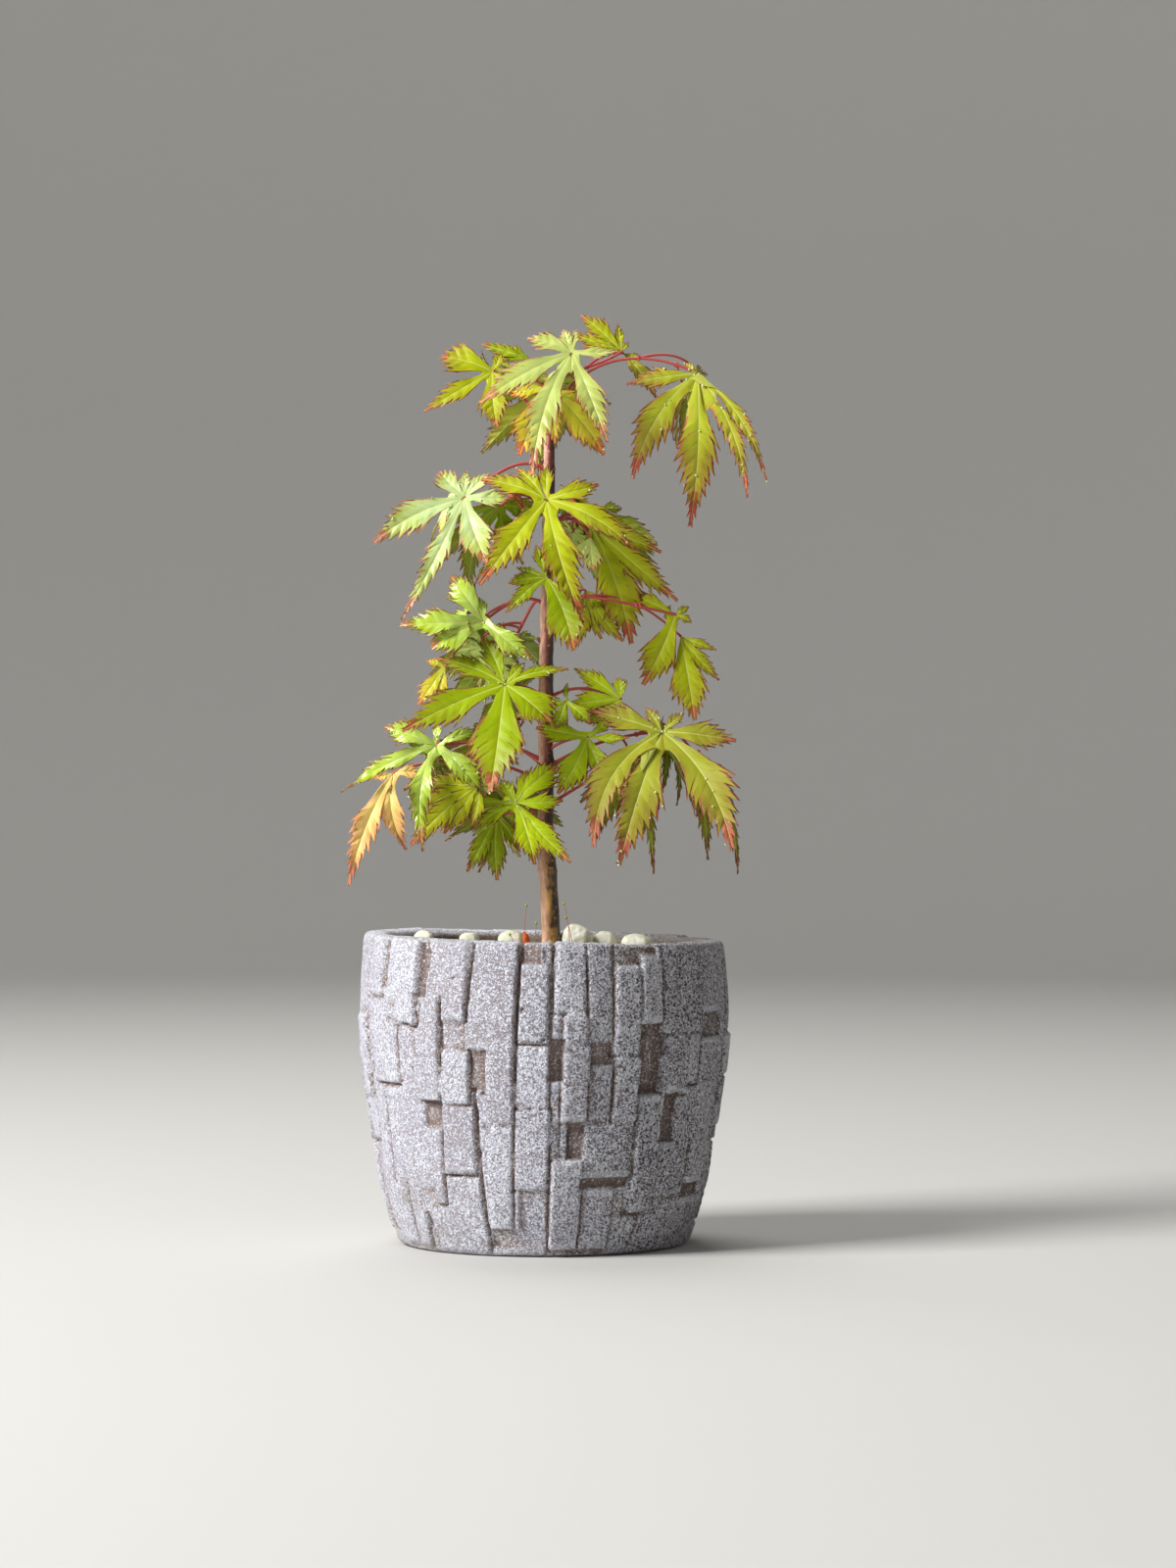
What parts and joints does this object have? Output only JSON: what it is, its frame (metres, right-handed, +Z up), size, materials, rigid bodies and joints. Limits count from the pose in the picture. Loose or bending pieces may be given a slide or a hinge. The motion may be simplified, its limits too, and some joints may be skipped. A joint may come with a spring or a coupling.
{
  "type": "potted japanese maple",
  "caption": "Young potted japanese maple: a slender trunk, side shoots and drooping palmate foliage masses over pebbled soil in a cast concrete pot.",
  "frame": {"origin": "centre of the pot's flat underside, on the surface that the pot stands on", "axes": "+Z up along the trunk, -Y towards the plant's front, +X to the front viewer's right"},
  "size_m": [0.1529, 0.136, 0.3378],
  "materials": {
    "concrete": "matte",
    "soil": "matte",
    "pebble": "matte",
    "bark": "satin",
    "petiole": "satin",
    "leaf": "satin",
    "tinted_leaf": "satin"
  },
  "bodies": {
    "root": {"bough_centre": "petiole", "bough_far_left": "petiole", "bough_inner_low_right": "petiole", "bough_inner_right": "petiole", "bough_low_front": "petiole", "bough_low_left": "petiole", "bough_low_right": "petiole", "bough_low_right_rear": "petiole", "bough_middle_front": "petiole", "bough_middle_left": "petiole", "bough_middle_right": "petiole", "bough_rear_low": "petiole", "bough_rear_low_left": "petiole", "bough_rear_middle": "petiole", "bough_rear_top": "petiole", "bough_rear_upper_left": "petiole", "bough_rear_upper_right": "petiole", "bough_top": "petiole", "bough_top_front": "petiole", "bough_top_left": "petiole", "bough_top_right": "petiole", "bough_under_top": "petiole", "bough_upper_front": "petiole", "bough_upper_left": "petiole", "bough_upper_right": "petiole", "foliage_centre": "leaf", "foliage_far_left": "tinted_leaf", "foliage_inner_low_right": "leaf", "foliage_inner_right": "leaf", "foliage_low_front": "leaf", "foliage_low_left": "leaf", "foliage_low_right": "leaf", "foliage_low_right_rear": "leaf", "foliage_middle_front": "leaf", "foliage_middle_left": "leaf", "foliage_middle_right": "leaf", "foliage_rear_low": "leaf", "foliage_rear_low_left": "leaf", "foliage_rear_middle": "leaf", "foliage_rear_top": "leaf", "foliage_rear_upper_left": "leaf", "foliage_rear_upper_right": "leaf", "foliage_top": "leaf", "foliage_top_front": "leaf", "foliage_top_left": "leaf", "foliage_top_right": "leaf", "foliage_under_top": "leaf", "foliage_upper_front": "leaf", "foliage_upper_left": "leaf", "foliage_upper_right": "leaf", "pebble_1": "pebble", "pebble_2": "pebble", "pebble_3": "pebble", "pebble_4": "pebble", "pebble_5": "pebble", "pebble_6": "pebble", "pebble_7": "pebble", "pot": "concrete", "soil": "soil", "trunk": "bark"}
  },
  "joints": []
}
